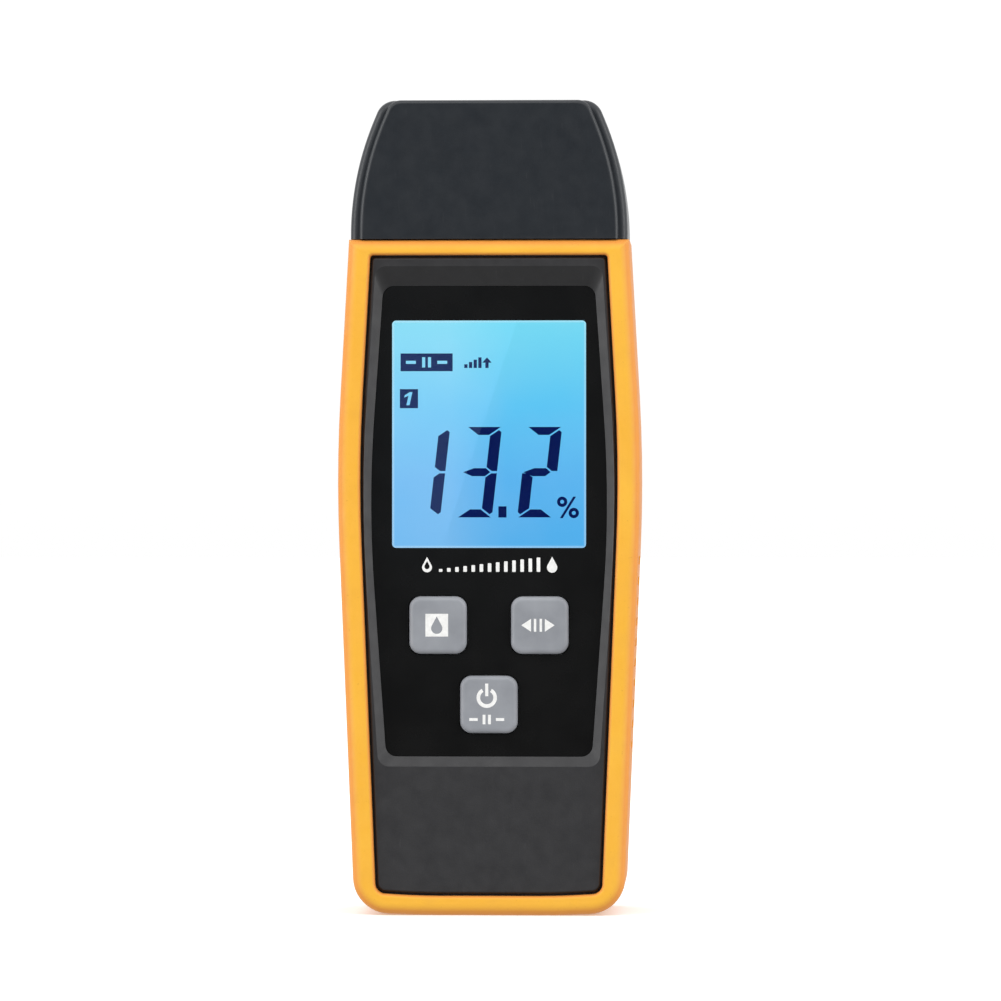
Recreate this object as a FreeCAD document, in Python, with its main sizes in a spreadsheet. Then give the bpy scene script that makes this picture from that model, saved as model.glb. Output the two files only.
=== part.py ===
import FreeCAD, Part
import math
import os
import re
import Sketcher
from FreeCAD import Placement, Rotation, Vector

# Two-pin moisture meter: a hand-held case in a rubber boot, with a display and three keys on
# the front, a battery door on the back, and two steel electrodes under a pull-off cap.
# Millimetres.  +Z runs up the case to the cap, the display faces -Y, and the origin is at the
# middle of the foot that it stands on.

# ---------------------------------------------------------------- driving dimensions
SIZES = {
    # whole meter
    "total_high": 142.0,
    "half_deep": 13.5,
    "fit_gap": 0.05,
    # outline of the boot, seen from the front
    "body_top": 117.65,
    "half_top": 24.42,
    "half_waist": 26.65,
    "half_bottom": 23.5,
    "waist_z": 77.4,
    "waist_round": 270.0,
    "corner_round": 6.4,
    "foot_half": 12.0,
    "foot_rise": 0.45,
    "foot_round": 120.0,
    "boot_edge": 2.0,
    # the boot's section
    "boot_wall": 2.4,
    "lip_wide": 3.92,
    "lip_thick": 2.0,
    "lip_top": 2.75,
    "lip_foot": 3.4,
    "lip_edge": 0.6,
    "opening_corner": 1.8,
    "grip_pitch": 3.6,
    "grip_low": 30.0,
    "grip_depth": 0.5,
    "grip_wide": 1.5,
    "grip_half": 7.5,
    "grip_reach": 1.0,
    # the two shells
    "shell_wall": 1.8,
    "plateau_gap": 0.4,
    "plateau_deep": 12.7,
    "front_inside": 9.9,
    "back_inside": 10.9,
    # display panel and the recess round it
    "panel_deep": 11.7,
    "panel_thick": 0.5,
    "panel_top": 109.6,
    "panel_bottom": 27.6,
    "panel_half_top": 18.45,
    "panel_half_waist": 21.08,
    "panel_half_bottom": 17.95,
    "panel_waist_z": 71.8,
    "panel_waist_round": 215.0,
    "panel_corner": 2.0,
    "bevel_side": 1.3,
    "bevel_top": 3.4,
    "bevel_bottom": 1.7,
    # display
    "view_half_wide": 16.85,
    "view_half_high": 19.75,
    "view_z": 83.75,
    "view_corner": 0.7,
    "glass_half_wide": 17.9,
    "glass_half_high": 20.7,
    "glass_thick": 1.1,
    "glass_gap": 0.3,
    "frame_wall": 1.7,
    "zebra_high": 1.3,
    "zebra_inset": 2.0,
    # keys
    "key_half": 5.0,
    "key_corner": 2.0,
    "key_gap": 0.2,
    "key_deep": 12.6,
    "key_flange": 0.85,
    "key_side_x": 8.86,
    "key_upper_z": 50.5,
    "key_lower_z": 36.7,
    # circuit board
    "board_deep": 6.5,
    "board_thick": 1.6,
    "board_half": 19.4,
    "board_bottom": 13.0,
    "board_top": 105.5,
    "board_post_x": 16.9,
    "board_post_low": 30.0,
    "board_post_high": 58.6,
    "board_post_radius": 2.0,
    "board_corner": 1.0,
    # parts on the board
    "switch_half": 3.0,
    "switch_thick": 1.6,
    "plunger_radius": 1.6,
    "plunger_high": 0.3,
    "chip_thick": 1.2,
    "can_radius": 2.0,
    "can_high": 2.9,
    "buzzer_x": 11.0,
    "buzzer_z": 94.0,
    "buzzer_radius": 5.0,
    "buzzer_high": 4.0,
    "buzzer_port": 0.8,
    "buzzer_port_deep": 1.0,
    # case screws
    "post_radius": 2.8,
    "post_low_x": 16.0,
    "post_low_z": 8.2,
    "post_high_x": 17.4,
    "post_high_z": 109.8,
    "screw_radius": 1.2,
    "screw_head": 2.3,
    "screw_seat": 6.0,
    "screw_head_high": 1.7,
    "screw_grip": 6.0,
    "board_screw_radius": 0.9,
    "board_screw_head": 1.9,
    "board_screw_head_high": 1.2,
    "board_screw_grip": 3.0,
    "cross_wide": 0.5,
    "cross_deep": 0.75,
    "cross_share": 1.2,
    # head and electrodes
    "neck_half_wide": 21.6,
    "neck_half_deep": 9.0,
    "neck_top": 123.6,
    "neck_corner": 3.0,
    "neck_edge": 0.8,
    "stem_half_wide": 12.9,
    "stem_half_deep": 7.3,
    "stem_bottom": 109.5,
    "stem_gap": 0.2,
    "notch_rise": 0.5,
    "flange_rise": 0.8,
    "flange_wide": 1.0,
    "flange_deep": 1.6,
    "electrode_half": 10.0,
    "shank_radius": 1.95,
    "needle_radius": 0.8,
    "needle_shoulder": 133.0,
    "needle_tip": 136.5,
    "collar_radius": 2.9,
    "collar_high": 2.2,
    "collar_edge": 0.4,
    "nut_high": 2.3,
    "nut_radius": 3.4,
    "shank_tail": 1.5,
    "tab_wide": 5.0,
    "tab_deep": 7.5,
    "tab_back": 0.9,
    "tab_leg_wide": 3.0,
    "tab_leg_long": 6.0,
    # cap
    "cap_bottom": 117.75,
    "cap_half": 24.15,
    "cap_bend_z": 129.0,
    "cap_top_half": 18.75,
    "cap_side_round": 52.0,
    "cap_top_round": 3.4,
    "cap_core_deep": 12.0,
    "cap_face_deep": 12.75,
    "cap_taper": 1.4,
    "cap_over": 1.0,
    "cap_face_inset": 1.6,
    "cap_face_edge": 0.7,
    "cap_core_edge": 1.2,
    "cap_wall": 1.9,
    "cap_hollow_deep": 9.2,
    "cap_hollow_round": 37.0,
    # battery compartment
    "cell_radius": 5.15,
    "cell_length": 43.6,
    "cell_pitch": 10.9,
    "cell_deep": 5.2,
    "nub_radius": 1.9,
    "nub_high": 0.9,
    "bay_half": 16.6,
    "bay_bottom": 12.4,
    "bay_top": 63.0,
    "bay_floor": 0.3,
    "bay_wall": 1.4,
    "bay_skirt": 0.4,
    "contact_thick": 0.4,
    "contact_high": 9.0,
    "contact_inset": 0.2,
    "contact_tab": 3.0,
    "contact_slot": 3.2,
    "spring_wire": 0.4,
    "spring_radius": 3.2,
    # battery door
    "door_half": 17.6,
    "door_bottom": 12.0,
    "door_top": 64.4,
    "door_thick": 1.7,
    "door_gap": 0.2,
    "lug_radius": 0.6,
    "lug_long": 0.9,
    "door_edge": 0.3,
    "thumb_radius": 5.0,
    "rib_top": 9.0,
    "rib_pitch": 2.2,
    "rib_half": 7.0,
    "rib_taper": 1.0,
    "rib_half_high": 0.5,
    "rib_corner": 0.4,
    "rib_deep": 0.4,
    # blank rating plate on the back
    "plate_half_wide": 14.0,
    "plate_half_high": 10.5,
    "plate_z": 84.0,
    "plate_thick": 0.25,
}

doc = FreeCAD.newDocument("moisture_meter")
sheet = doc.addObject("Spreadsheet::Sheet", "Sheet")
for row, (alias, size) in enumerate(SIZES.items(), start=1):
    sheet.set(f"A{row}", alias)
    sheet.set(f"B{row}", str(size))
    sheet.setAlias(f"B{row}", alias)
doc.recompute()

NODES = {}


# ---------------------------------------------------------------- helpers
def value(words):
    """Work out an expression of the sheet's names, in millimetres."""
    return float(sheet.evalExpression(str(words)))


def linked(words):
    """The same expression, as another object has to write it."""
    return re.sub(r"[a-z_]+", lambda found: "Sheet." + found.group(), str(words))


def node(label, thing):
    """Name a sub-part after its file."""
    thing.Label = label
    NODES[label] = thing
    return thing


def new_body(label):
    return node(label, doc.addObject("PartDesign::Body", label))


def sketch_on(body, role, height, name="outline"):
    """A sketch parallel to an origin plane; height is measured along that plane's normal."""
    plane = [item for item in body.Origin.OriginFeatures if item.Role == role][0]
    sketch = body.newObject("Sketcher::SketchObject", name)
    sketch.AttachmentSupport = (plane, [""])
    sketch.MapMode = "FlatFace"
    sketch.setExpression("AttachmentOffset.Base.z", linked(height))
    return sketch


def front_sketch(body, depth, name="outline"):
    """A sketch seen from the front, so many millimetres forward of the case's middle."""
    return sketch_on(body, "XZ_Plane", depth, name)


def hold(sketch, geometry, point, x_words, y_words):
    """Tie one point of a sketch to the sheet."""
    for kind, words, axis in (("DistanceX", x_words, -2), ("DistanceY", y_words, -1)):
        size = value(words)
        if abs(size) < 1e-9:
            sketch.addConstraint(Sketcher.Constraint("PointOnObject", geometry, point, axis))
            continue
        ends = (-1, 1, geometry, point) if size > 0 else (geometry, point, -1, 1)
        index = sketch.addConstraint(Sketcher.Constraint(kind, *ends, abs(size)))
        sketch.setExpression(f"Constraints[{index}]", linked(words if size > 0 else f"-({words})"))


def outline(sketch, corners):
    """A closed outline of straight sides; each corner is (x, y, radius), radius 0 for a sharp one."""
    points = [Vector(value(x), value(y), 0) for x, y, _ in corners]
    count = len(points)
    joins = []
    for k, (_, _, radius_words) in enumerate(corners):
        radius = value(radius_words)
        back = (points[k - 1] - points[k]).normalize()
        ahead = (points[(k + 1) % count] - points[k]).normalize()
        half_angle = back.getAngle(ahead) / 2
        reach = radius / math.tan(half_angle)
        centre = points[k] + (back + ahead).normalize() * (radius / math.sin(half_angle))
        joins.append((points[k] + back * reach, points[k] + ahead * reach, centre, radius))
    lines = []
    for k in range(count):
        side = Part.LineSegment(joins[k][1], joins[(k + 1) % count][0])
        lines.append(sketch.addGeometry(side, False))
    for k, (x_words, y_words, radius_words) in enumerate(corners):
        start, end, centre, radius = joins[k]
        if not radius:
            sketch.addConstraint(Sketcher.Constraint("Coincident", lines[k - 1], 2, lines[k], 1))
            hold(sketch, lines[k], 1, x_words, y_words)
            continue
        left_turn = (start - centre).cross(end - centre).z > 0
        first, last = (start, end) if left_turn else (end, start)
        angle_from = math.atan2(first.y - centre.y, first.x - centre.x)
        angle_to = math.atan2(last.y - centre.y, last.x - centre.x)
        if angle_to < angle_from:
            angle_to += 2 * math.pi
        circle = Part.Circle(centre, Vector(0, 0, 1), radius)
        arc = sketch.addGeometry(Part.ArcOfCircle(circle, angle_from, angle_to), False)
        entry, leave = (1, 2) if left_turn else (2, 1)
        sketch.addConstraint(Sketcher.Constraint("Tangent", lines[k - 1], 2, arc, entry))
        sketch.addConstraint(Sketcher.Constraint("Tangent", arc, leave, lines[k], 1))
        index = sketch.addConstraint(Sketcher.Constraint("Radius", arc, radius))
        sketch.setExpression(f"Constraints[{index}]", linked(radius_words))
        corner = sketch.addGeometry(Part.Point(points[k]), True)
        sketch.addConstraint(Sketcher.Constraint("PointOnObject", corner, 1, lines[k - 1]))
        sketch.addConstraint(Sketcher.Constraint("PointOnObject", corner, 1, lines[k]))
        hold(sketch, corner, 1, x_words, y_words)


def both_sides(right_half):
    """Mirror the right half of an outline, listed from the bottom up, into a whole one."""
    return right_half + [(f"-({x})", y, radius) for x, y, radius in reversed(right_half)]


def rectangle(sketch, x, y, half_wide, half_high, corner="0"):
    outline(sketch, [(f"({x}) + ({half_wide})", f"({y}) - ({half_high})", corner),
                     (f"({x}) + ({half_wide})", f"({y}) + ({half_high})", corner),
                     (f"({x}) - ({half_wide})", f"({y}) + ({half_high})", corner),
                     (f"({x}) - ({half_wide})", f"({y}) - ({half_high})", corner)])


def circle(sketch, x, y, radius):
    centre = Vector(value(x), value(y), 0)
    ring = sketch.addGeometry(Part.Circle(centre, Vector(0, 0, 1), value(radius)), False)
    index = sketch.addConstraint(Sketcher.Constraint("Radius", ring, value(radius)))
    sketch.setExpression(f"Constraints[{index}]", linked(radius))
    hold(sketch, ring, 3, x, y)


def pad(body, sketch, length, reverse=False):
    """Add material along the sketch's normal, which is forward for a front sketch."""
    feature = body.newObject("PartDesign::Pad", "pad")
    feature.Profile = sketch
    feature.Reversed = reverse
    feature.setExpression("Length", linked(length))
    doc.recompute()
    return feature


def cut(body, sketch, length, forward=False):
    """Remove material against the sketch's normal, or along it; it has to remove something."""
    before = body.Shape.Volume
    feature = body.newObject("PartDesign::Pocket", "cut")
    feature.Profile = sketch
    feature.Reversed = forward
    feature.setExpression("Length", linked(length))
    doc.recompute()
    if body.Shape.Volume > before - 1e-3:
        raise RuntimeError(f"a cut in {body.Label} removes nothing")
    return feature


def soften(body, radius, wanted):
    """Round the edges of the body, as it is so far, that the test picks."""
    base = body.Tip
    names = [f"Edge{k}" for k, edge in enumerate(base.Shape.Edges, start=1) if wanted(edge)]
    if not names:
        raise RuntimeError(f"no edge to soften in {body.Label}")
    feature = body.newObject("PartDesign::Fillet", "soften")
    feature.Base = (base, names)
    feature.setExpression("Radius", linked(radius))
    doc.recompute()
    if not body.Shape.isValid():
        raise RuntimeError(f"softening an edge spoils {body.Label}")
    return feature


def on_plane(edge, axis, place, slack=1e-3):
    """True for an edge that lies in the plane where that coordinate (0, 1 or 2) is place."""
    return all(abs(edge.valueAt(at)[axis] - place) < slack
               for at in (edge.FirstParameter, sum(edge.ParameterRange) / 2, edge.LastParameter))


def solid(kind, **sizes):
    """A Part primitive whose sizes are tied to the sheet."""
    thing = doc.addObject(f"Part::{kind}", kind.lower())
    for name, words in sizes.items():
        thing.setExpression(name, linked(words))
    return thing


def put(thing, x="0", y="0", z="0", turn=None):
    """Place a thing by expressions, turned by an angle about an axis if one is given."""
    if turn:
        axis, angle = turn
        thing.Placement = Placement(Vector(), Rotation(Vector(*axis), angle))
    for name, words in (("x", x), ("y", y), ("z", z)):
        thing.setExpression(f"Placement.Base.{name}", linked(words))
    return thing


def block(x, y, z, wide, deep, high):
    """A box given by its middle and its three sizes."""
    thing = solid("Box", Length=wide, Width=deep, Height=high)
    return put(thing, f"({x}) - ({wide}) / 2", f"({y}) - ({deep}) / 2", f"({z}) - ({high}) / 2")


def rod(x, y, z, radius, length, turn=None):
    return put(solid("Cylinder", Radius=radius, Height=length), x, y, z, turn)


def join(*things):
    fused = doc.addObject("Part::MultiFuse", "joined")
    fused.Shapes = list(things)
    return fused


def minus(base, tool):
    result = doc.addObject("Part::Cut", "trimmed")
    result.Base = base
    result.Tool = tool
    return result


def group(label, things):
    """One node made of several separate solids."""
    compound = doc.addObject("Part::Compound", label)
    compound.Links = things
    return node(label, compound)


# ---------------------------------------------------------------- shared outlines
def side_at(height):
    """Half the boot's width at a height below its waist or above it, before rounding."""
    if value(height) < value("waist_z"):
        return f"half_bottom + (half_waist - half_bottom) * ({height}) / waist_z"
    return f"half_top + (half_waist - half_top) * (body_top - ({height})) / (body_top - waist_z)"


def barrel(inset, bottom, top, low_corner, high_corner):
    """The boot's outline drawn smaller by an inset, between two heights."""
    return both_sides([
        ("foot_half", bottom, "foot_round"),
        (f"{side_at(bottom)} - ({inset})", f"({bottom}) + foot_rise", low_corner),
        (f"half_waist - ({inset})", "waist_z", "waist_round"),
        (f"{side_at(top)} - ({inset})", top, high_corner)])


def opening_outline(extra="0"):
    """The boot's front and back openings, smaller all round by extra."""
    return barrel(f"lip_wide + ({extra})", f"lip_foot + ({extra})", f"body_top - lip_top - ({extra})",
                  f"opening_corner - ({extra})", "lip_edge")


def shell_outline(inset):
    """The case inside the boot; inset is measured from the case's own outside."""
    wall = f"boot_wall + fit_gap + ({inset})"
    return barrel(wall, wall, f"body_top - lip_top - fit_gap - ({inset})",
                  f"corner_round - boot_wall - ({inset})", "lip_edge")


def panel_outline(grow_side="0", grow_top="0", grow_bottom="0"):
    return both_sides([
        (f"panel_half_bottom + ({grow_side})", f"panel_bottom - ({grow_bottom})", "panel_corner"),
        (f"panel_half_waist + ({grow_side})", "panel_waist_z", "panel_waist_round"),
        (f"panel_half_top + ({grow_side})", f"panel_top + ({grow_top})", "panel_corner")])


def cap_outline(inset="0", top="total_high", side_round="cap_side_round"):
    """The cap from the front, narrower by an inset on each side."""
    return both_sides([
        (f"cap_half - ({inset})", "cap_bottom", "0"),
        (f"cap_half - ({inset})", "cap_bend_z", f"{side_round} - ({inset})"),
        (f"cap_top_half - ({inset})", top, f"cap_top_round - ({inset}) / 2")])


KEYS = {"key_mode": ("-key_side_x", "key_upper_z"),
        "key_set": ("key_side_x", "key_upper_z"),
        "key_power": ("0", "key_lower_z")}
CASE_POSTS = [("post_low_x", "post_low_z"), ("-post_low_x", "post_low_z"),
              ("post_high_x", "post_high_z"), ("-post_high_x", "post_high_z")]
BOARD_POSTS = [(x, z) for x in ("board_post_x", "-board_post_x")
               for z in ("board_post_low", "board_post_high")]
# each chip's middle and size on the back of the board: x, z, wide, high
CHIPS = [("0", "84", "10", "10"), ("-11", "76", "5", "6"), ("10", "74", "6", "5")]
CAPACITORS = [("12", "92"), ("12", "97")]
GRIP_GROOVES = 10
DOOR_RIBS = 5
SPRING_TURNS = 3
FORWARD = ((1, 0, 0), 90)
BACKWARD = ((1, 0, 0), -90)


# ---------------------------------------------------------------- boot
def make_boot():
    """The rubber boot: a sleeve round the case, lipped over its front and back."""
    body = new_body("rubber_boot")
    outside = front_sketch(body, "-half_deep")
    outline(outside, barrel("0", "0", "body_top", "corner_round", "0"))
    pad(body, outside, "2 * half_deep")
    deep = value("half_deep")
    soften(body, "boot_edge", lambda edge: on_plane(edge, 1, -deep) or on_plane(edge, 1, deep))
    hollow = front_sketch(body, "-(half_deep - lip_thick)")
    outline(hollow, shell_outline("-fit_gap"))
    cut(body, hollow, "2 * (half_deep - lip_thick)", forward=True)
    windows = front_sketch(body, "-half_deep")
    outline(windows, opening_outline())
    cut(body, windows, "2 * half_deep", forward=True)
    soften(body, "lip_edge", lambda edge: (
        (on_plane(edge, 1, -deep) or on_plane(edge, 1, deep)) and in_opening(edge.BoundBox)))
    stem_slot = sketch_on(body, "XY_Plane", "body_top")
    rectangle(stem_slot, "0", "0", "stem_half_wide + stem_gap", "stem_half_deep + stem_gap", "lip_edge")
    cut(body, stem_slot, "lip_top + lip_edge")
    add_grips(body)


def in_opening(box, slack=1e-3):
    """True for a box that lies within the boot's opening, seen from the front."""
    half = value("half_waist - lip_wide") + slack
    return (max(box.XMax, -box.XMin) < half and box.ZMax < value("body_top - lip_top") + slack
            and box.ZMin > value("lip_foot") - slack)


def add_grips(body):
    """Finger grooves across both sides of the boot, clear of its front and back edges."""
    for k in range(GRIP_GROOVES):
        height = f"grip_low + {k} * grip_pitch"
        grooves = sketch_on(body, "XY_Plane", height)
        for side in ("1", "-1"):
            rectangle(grooves, f"{side} * ({side_at(height)} + grip_reach)", "0",
                      "grip_reach + grip_depth", "grip_half")
        cut(body, grooves, "grip_wide")


# ---------------------------------------------------------------- shells
def make_front_shell():
    """The front half of the case, with the recess for the display panel."""
    body = new_body("front_shell")
    outside = front_sketch(body, "0")
    outline(outside, shell_outline("0"))
    pad(body, outside, "half_deep - lip_thick - fit_gap")
    raised = front_sketch(body, "half_deep - lip_thick - fit_gap")
    outline(raised, opening_outline("plateau_gap"))
    pad(body, raised, "plateau_deep - (half_deep - lip_thick - fit_gap)")
    soften(body, "plateau_gap", lambda edge: on_plane(edge, 1, -value("plateau_deep")))
    hollow = front_sketch(body, "0")
    outline(hollow, shell_outline("shell_wall"))
    cut(body, hollow, "front_inside", forward=True)
    bevel = body.newObject("PartDesign::SubtractiveLoft", "bevel")
    wide = front_sketch(body, "plateau_deep", "bevel_rim")
    outline(wide, panel_outline("bevel_side", "bevel_top", "bevel_bottom"))
    narrow = front_sketch(body, "panel_deep", "bevel_floor")
    outline(narrow, panel_outline())
    bevel.Profile = wide
    bevel.Sections = [narrow]
    bevel.Ruled = True
    doc.recompute()
    seat = front_sketch(body, "panel_deep")
    outline(seat, panel_outline())
    cut(body, seat, "panel_thick")
    holes = front_sketch(body, "panel_deep")
    rectangle(holes, "0", "view_z", "glass_half_wide + key_gap", "glass_half_high + key_gap", "view_corner")
    for x, z in KEYS.values():
        rectangle(holes, x, z, "key_half + key_gap", "key_half + key_gap", "key_corner + key_gap")
    cut(body, holes, "panel_deep - front_inside")
    posts = front_sketch(body, "0")
    for x, z in CASE_POSTS:
        circle(posts, x, z, "post_radius")
    pad(body, posts, "front_inside")
    board_posts = front_sketch(body, "board_deep + fit_gap")
    for x, z in BOARD_POSTS:
        circle(board_posts, x, z, "board_post_radius")
    pad(body, board_posts, "front_inside - board_deep - fit_gap")
    pilots = front_sketch(body, "0")
    for x, z in CASE_POSTS:
        circle(pilots, x, z, "screw_radius + fit_gap")
    for x, z in BOARD_POSTS:
        circle(pilots, x, z, "board_screw_radius + fit_gap")
    cut(body, pilots, "front_inside", forward=True)
    notch_for_stem(body)


def notch_for_stem(body):
    """The notch in a shell's top wall that the head's stem passes through."""
    notch = sketch_on(body, "XY_Plane", "body_top")
    rectangle(notch, "0", "0", "stem_half_wide + stem_gap", "stem_half_deep + stem_gap", "lip_edge")
    cut(body, notch, "body_top - stem_bottom - notch_rise")


def make_rear_shell():
    """The back half of the case, with the battery compartment moulded in."""
    body = new_body("rear_shell")
    outside = front_sketch(body, "0")
    outline(outside, shell_outline("0"))
    pad(body, outside, "half_deep - lip_thick - fit_gap", reverse=True)
    raised = front_sketch(body, "-(half_deep - lip_thick - fit_gap)")
    outline(raised, opening_outline("plateau_gap"))
    pad(body, raised, "plateau_deep - (half_deep - lip_thick - fit_gap)", reverse=True)
    soften(body, "plateau_gap", lambda edge: on_plane(edge, 1, value("plateau_deep")))
    hollow = front_sketch(body, "0")
    outline(hollow, shell_outline("shell_wall"))
    cut(body, hollow, "back_inside")
    bay_middle = "(bay_bottom + bay_top) / 2"
    bay_half_high = "(bay_top - bay_bottom) / 2"
    bay_block = front_sketch(body, "bay_floor + bay_wall")
    rectangle(bay_block, "0", bay_middle, "bay_half + bay_wall + bay_skirt", f"{bay_half_high} + bay_wall")
    pad(body, bay_block, "bay_floor + bay_wall + back_inside", reverse=True)
    posts = front_sketch(body, "0")
    for x, z in CASE_POSTS:
        circle(posts, x, z, "post_radius")
    pad(body, posts, "back_inside", reverse=True)
    bay = front_sketch(body, "bay_floor")
    rectangle(bay, "0", bay_middle, "bay_half", bay_half_high)
    cut(body, bay, "bay_floor + plateau_deep")
    door_seat = front_sketch(body, "-back_inside")
    rectangle(door_seat, "0", "(door_bottom + door_top) / 2", "door_half + door_gap",
              "(door_top - door_bottom) / 2 + door_gap")
    cut(body, door_seat, "plateau_deep - back_inside")
    lug_holes = sketch_on(body, "YZ_Plane", "-(door_half + door_gap + lug_long)")
    circle(lug_holes, "plateau_deep - door_thick / 2", "door_bottom + door_thick / 2",
           "lug_radius + 2 * fit_gap")
    cut(body, lug_holes, "2 * (door_half + door_gap + lug_long)", forward=True)
    thumb_notch = front_sketch(body, "-plateau_deep")
    circle(thumb_notch, "0", "door_top + door_gap", "thumb_radius")
    cut(body, thumb_notch, "door_thick / 2", forward=True)
    screw_holes = front_sketch(body, "0")
    for x, z in CASE_POSTS:
        circle(screw_holes, x, z, "screw_radius + 2 * fit_gap")
    cut(body, screw_holes, "plateau_deep")
    seats = front_sketch(body, "-screw_seat")
    for x, z in CASE_POSTS:
        circle(seats, x, z, "screw_head + key_gap")
    cut(body, seats, "plateau_deep - screw_seat")
    contact_slots = front_sketch(body, "bay_floor + bay_wall")
    for z in ("bay_bottom + contact_thick / 2 + fit_gap", "bay_top - contact_thick / 2 - fit_gap"):
        rectangle(contact_slots, "cell_pitch", z, "contact_slot / 2", "contact_thick / 2 + fit_gap")
    cut(body, contact_slots, "bay_wall + fit_gap")
    plate_seat = front_sketch(body, "-plateau_deep")
    rectangle(plate_seat, "0", "plate_z", "plate_half_wide + fit_gap", "plate_half_high + fit_gap",
              "view_corner")
    cut(body, plate_seat, "plate_thick", forward=True)
    notch_for_stem(body)


# ---------------------------------------------------------------- display
def make_panel():
    """The printed black panel, with holes for the display window and the keys."""
    body = new_body("overlay_panel")
    face = front_sketch(body, "panel_deep - panel_thick")
    outline(face, panel_outline("-fit_gap", "-fit_gap", "-fit_gap"))
    pad(body, face, "panel_thick")
    holes = front_sketch(body, "panel_deep")
    rectangle(holes, "0", "view_z", "view_half_wide + fit_gap", "view_half_high + fit_gap", "view_corner")
    for x, z in KEYS.values():
        rectangle(holes, x, z, "key_half + key_gap", "key_half + key_gap", "key_corner + key_gap")
    cut(body, holes, "panel_thick")


def make_slab(label, middle, half_wide, half_high, front, thick, corner="0"):
    """A flat rectangular piece; front is how far forward of the middle its face lies."""
    body = new_body(label)
    face = front_sketch(body, f"{front} - ({thick})")
    rectangle(face, "0", middle, half_wide, half_high, corner)
    pad(body, face, thick)
    return body


def make_display():
    """Window, glass, backlight, the frame that holds them and the rubber connector below."""
    glass_front = "panel_deep - panel_thick - fit_gap"
    glass_back = f"{glass_front} - glass_thick"
    room = f"{glass_back} - board_deep - 2 * fit_gap"
    make_slab("display_window", "view_z", "view_half_wide", "view_half_high", "panel_deep", "panel_thick",
              "view_corner")
    make_slab("lcd_glass", "view_z", "glass_half_wide", "glass_half_high", glass_front, "glass_thick",
              "view_corner")
    make_slab("lcd_backlight", "view_z + zebra_high / 2", "glass_half_wide",
              "glass_half_high - zebra_high / 2 - 2 * fit_gap", f"{glass_back} - fit_gap", room)
    make_slab("lcd_connector", "view_z - glass_half_high + zebra_high / 2",
              "glass_half_wide - zebra_inset", "zebra_high / 2 - fit_gap", f"{glass_back} - fit_gap", room)
    frame = make_slab("lcd_frame", "view_z", "glass_half_wide + frame_wall + glass_gap",
                      "glass_half_high + frame_wall + glass_gap", "front_inside - fit_gap",
                      "front_inside - board_deep - 2 * fit_gap", "view_corner")
    inside = front_sketch(frame, "front_inside")
    rectangle(inside, "0", "view_z", "glass_half_wide + glass_gap", "glass_half_high + glass_gap")
    cut(frame, inside, "front_inside - board_deep")


# ---------------------------------------------------------------- keys and board
def make_keys():
    """Three key caps, each held in by a flange behind the front wall."""
    for label, (x, z) in KEYS.items():
        body = new_body(label)
        flange = front_sketch(body, "front_inside - fit_gap - key_flange")
        rectangle(flange, x, z, "key_half + key_flange", "key_half + key_flange", "key_corner")
        pad(body, flange, "key_flange")
        top = front_sketch(body, "front_inside - fit_gap")
        rectangle(top, x, z, "key_half", "key_half", "key_corner")
        pad(body, top, "key_deep - front_inside + fit_gap")
        soften(body, "key_flange", lambda edge: on_plane(edge, 1, -value("key_deep")))


def make_switches():
    """One tactile switch on the board behind each key."""
    things = []
    for x, z in KEYS.values():
        case = block(x, "-(board_deep + fit_gap + switch_thick / 2)", z, "2 * switch_half",
                     "switch_thick", "2 * switch_half")
        plunger = rod(x, "-(board_deep + switch_thick - fit_gap)", z, "plunger_radius", "plunger_high",
                      FORWARD)
        things.append(join(case, plunger))
    group("tact_switches", things)


def make_board():
    """The circuit board, screwed to four posts of the front shell, and the parts on its back."""
    body = new_body("main_board")
    face = front_sketch(body, "board_deep - board_thick")
    rectangle(face, "0", "(board_top + board_bottom) / 2", "board_half", "(board_top - board_bottom) / 2",
              "board_corner")
    pad(body, face, "board_thick")
    holes = front_sketch(body, "board_deep")
    for x, z in BOARD_POSTS:
        circle(holes, x, z, "screw_radius")
    cut(body, holes, "board_thick")
    back = "fit_gap - board_deep + board_thick"
    group("control_chips", [block(x, f"{back} + chip_thick / 2", z, wide, "chip_thick", high)
                            for x, z, wide, high in CHIPS])
    group("capacitors", [rod(x, back, z, "can_radius", "can_high", BACKWARD) for x, z in CAPACITORS])
    case = rod("-buzzer_x", back, "buzzer_z", "buzzer_radius", "buzzer_high", BACKWARD)
    port = rod("-buzzer_x", f"{back} + buzzer_high - buzzer_port_deep", "buzzer_z", "buzzer_port",
               "2 * buzzer_port_deep", BACKWARD)
    node("buzzer", minus(case, port))


def screw(x, z, seat, head_radius, head_high, shank_radius, shank_long):
    """A cross-head screw driven forward from behind; seat is where its head lies on, in Y."""
    head = rod(x, seat, z, head_radius, head_high, BACKWARD)
    shank = rod(x, f"({seat}) + fit_gap", z, shank_radius, f"{shank_long} + fit_gap", FORWARD)
    cross_y = f"({seat}) + {head_high} - cross_deep / 2"
    cross_long = f"{head_radius} * cross_share"
    slots = join(block(x, cross_y, z, cross_long, "cross_deep", "cross_wide"),
                 block(x, cross_y, z, "cross_wide", "cross_deep", cross_long))
    return minus(join(head, shank), slots)


def make_screws():
    """Four long screws that hold the two shells together, and four short ones for the board."""
    group("case_screws", [screw(x, z, "screw_seat + fit_gap", "screw_head", "screw_head_high",
                                "screw_radius", "screw_seat + screw_grip") for x, z in CASE_POSTS])
    group("board_screws", [screw(x, z, "fit_gap - board_deep + board_thick", "board_screw_head",
                                 "board_screw_head_high", "board_screw_radius",
                                 "board_thick + board_screw_grip") for x, z in BOARD_POSTS])


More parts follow.
